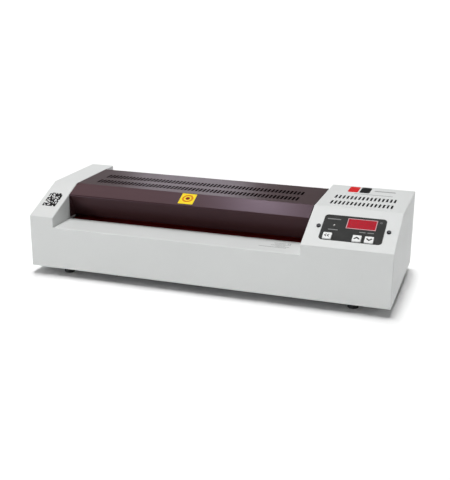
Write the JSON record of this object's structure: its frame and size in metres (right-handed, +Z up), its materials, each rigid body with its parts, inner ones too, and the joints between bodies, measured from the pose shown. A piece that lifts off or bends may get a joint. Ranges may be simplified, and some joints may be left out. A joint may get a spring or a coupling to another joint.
{
  "type": "pouch laminator",
  "caption": "Desktop pouch laminator: grey sheet-metal case with a feed shelf between raised cheeks, dark slotted cover over geared heated rollers, control panel on the right cheek.",
  "frame": {"origin": "on the surface the feet stand on, under the middle of the case", "axes": "+X to the right as seen from the front, along the rollers; +Y to the back; +Z up"},
  "size_m": [0.49, 0.19, 0.112],
  "materials": {
    "case_paint": "light grey textured powder coat",
    "cover_paint": "dark brown semi-gloss paint",
    "guide_coat": "dark red heat-resistant coat",
    "frame_steel": "zinc-plated sheet",
    "bright_steel": "ground steel",
    "screw_steel": "black-nickel screws",
    "foot_rubber": "matt black",
    "silicone": "brick red silicone",
    "gear_nylon": "natural nylon",
    "block_resin": "heat-resistant resin",
    "bronze": "sintered bronze",
    "spring_steel": "spring wire",
    "shoe_aluminium": "extruded",
    "mica": "mica sheet",
    "ceramic": "glazed ceramic",
    "motor_case": "zinc and black",
    "overlay_print": "dark grey printed film",
    "display_red": "red filter",
    "bezel_plastic": "pale satin",
    "module_plastic": "black",
    "button_plastic": "white satin",
    "led_lens": "tinted lens",
    "board_green": "solder mask",
    "switch_black": "moulded",
    "pin_brass": "plated",
    "iron_core": "varnished laminations",
    "lead_insulation": "sleeved leads"
  },
  "bodies": {
    "chassis": {"main_housing": "case_paint", "base_plate": "frame_steel", "rear_panel": "case_paint", "top_cover": "cover_paint", "feed_guide": "guide_coat", "exit_guide": "case_paint", "foot_front_left": "foot_rubber", "foot_front_right": "foot_rubber", "foot_rear_left": "foot_rubber", "foot_rear_right": "foot_rubber", "case_screws": "screw_steel", "frame_screws": "bright_steel", "panel_screws": "screw_steel", "side_frame_left": "frame_steel", "side_frame_right": "frame_steel", "roller_bushes": "bronze", "front_nip_springs": "spring_steel", "rear_nip_springs": "spring_steel", "idler_stud": "bright_steel", "gear_motor": "motor_case", "motor_bracket": "frame_steel", "upper_heater_shoe": "shoe_aluminium", "lower_heater_shoe": "shoe_aluminium", "heating_elements": "mica", "thermal_cutouts": "ceramic", "guide_bars": "shoe_aluminium", "control_overlay": "overlay_print", "display_window": "display_red", "display_bezel": "bezel_plastic", "display_module": "module_plastic", "tact_switches": "module_plastic", "indicator_led": "led_lens", "control_board": "board_green", "board_standoffs": "pin_brass", "transformer": "iron_core", "power_inlet": "switch_black", "inlet_pins": "pin_brass", "power_switch": "switch_black", "wiring": "lead_insulation"},
    "lower_front_roller": {"lower_front_shaft": "bright_steel", "lower_front_sleeve": "silicone", "lower_front_gear": "gear_nylon"},
    "lower_rear_roller": {"lower_rear_shaft": "bright_steel", "lower_rear_sleeve": "silicone", "lower_rear_gear": "gear_nylon"},
    "front_carriage": {"front_bearing_blocks": "block_resin"},
    "upper_front_roller": {"upper_front_shaft": "bright_steel", "upper_front_sleeve": "silicone", "upper_front_gear": "gear_nylon"},
    "rear_carriage": {"rear_bearing_blocks": "block_resin"},
    "upper_rear_roller": {"upper_rear_shaft": "bright_steel", "upper_rear_sleeve": "silicone", "upper_rear_gear": "gear_nylon"},
    "idler": {"idler_gear": "gear_nylon"},
    "motor_output": {"motor_gear": "gear_nylon", "motor_shaft": "bright_steel"},
    "reverse_key": {"button_reverse": "button_plastic"},
    "up_key": {"button_up": "button_plastic"},
    "down_key": {"button_down": "button_plastic"},
    "rocker": {"power_rocker": "switch_black"}
  },
  "joints": [
    {"name": "lower_front_spin", "type": "hinge", "parent": "chassis", "child": "lower_front_roller", "pos_m": [0, -0.011, 0.052], "axis": [1, 0, 0], "continuous": true},
    {"name": "lower_rear_spin", "type": "hinge", "parent": "chassis", "child": "lower_rear_roller", "pos_m": [0, 0.033, 0.052], "axis": [1, 0, 0], "continuous": true},
    {"name": "front_nip_slide", "type": "slide", "parent": "chassis", "child": "front_carriage", "axis": [0, 0, 1], "range_m": [0, 0.0012], "stiffness_N_per_m": 6000, "springref_m": -0.003, "deforming": ["front_nip_springs"]},
    {"name": "upper_front_spin", "type": "hinge", "parent": "front_carriage", "child": "upper_front_roller", "pos_m": [0, -0.011, 0.082], "axis": [1, 0, 0], "continuous": true},
    {"name": "rear_nip_slide", "type": "slide", "parent": "chassis", "child": "rear_carriage", "axis": [0, 0, 1], "range_m": [0, 0.0012], "stiffness_N_per_m": 6000, "springref_m": -0.003, "deforming": ["rear_nip_springs"]},
    {"name": "upper_rear_spin", "type": "hinge", "parent": "rear_carriage", "child": "upper_rear_roller", "pos_m": [0, 0.033, 0.082], "axis": [1, 0, 0], "continuous": true},
    {"name": "idler_spin", "type": "hinge", "parent": "chassis", "child": "idler", "pos_m": [0, 0.011, 0.03388], "axis": [1, 0, 0], "continuous": true},
    {"name": "motor_spin", "type": "hinge", "parent": "chassis", "child": "motor_output", "pos_m": [0, 0.0585, 0.052], "axis": [1, 0, 0], "continuous": true},
    {"name": "reverse_press", "type": "slide", "parent": "chassis", "child": "reverse_key", "axis": [0, 0.3886, -0.9214], "range_m": [0, 0.0006], "stiffness_N_per_m": 1200, "springref_m": -0.0006},
    {"name": "up_press", "type": "slide", "parent": "chassis", "child": "up_key", "axis": [0, 0.3886, -0.9214], "range_m": [0, 0.0006], "stiffness_N_per_m": 1200, "springref_m": -0.0006},
    {"name": "down_press", "type": "slide", "parent": "chassis", "child": "down_key", "axis": [0, 0.3886, -0.9214], "range_m": [0, 0.0006], "stiffness_N_per_m": 1200, "springref_m": -0.0006},
    {"name": "power_toggle", "type": "hinge", "parent": "chassis", "child": "rocker", "pos_m": [0.226, 0.09, 0.084], "axis": [1, 0, 0], "range_deg": [-16, 0]}
  ],
  "couplings": [
    {"joint": "upper_front_spin", "follows": "lower_front_spin", "ratio": -1},
    {"joint": "idler_spin", "follows": "lower_front_spin", "ratio": -1.1111},
    {"joint": "lower_rear_spin", "follows": "lower_front_spin", "ratio": 1},
    {"joint": "upper_rear_spin", "follows": "lower_front_spin", "ratio": -1},
    {"joint": "motor_spin", "follows": "lower_front_spin", "ratio": -1.4286}
  ]
}
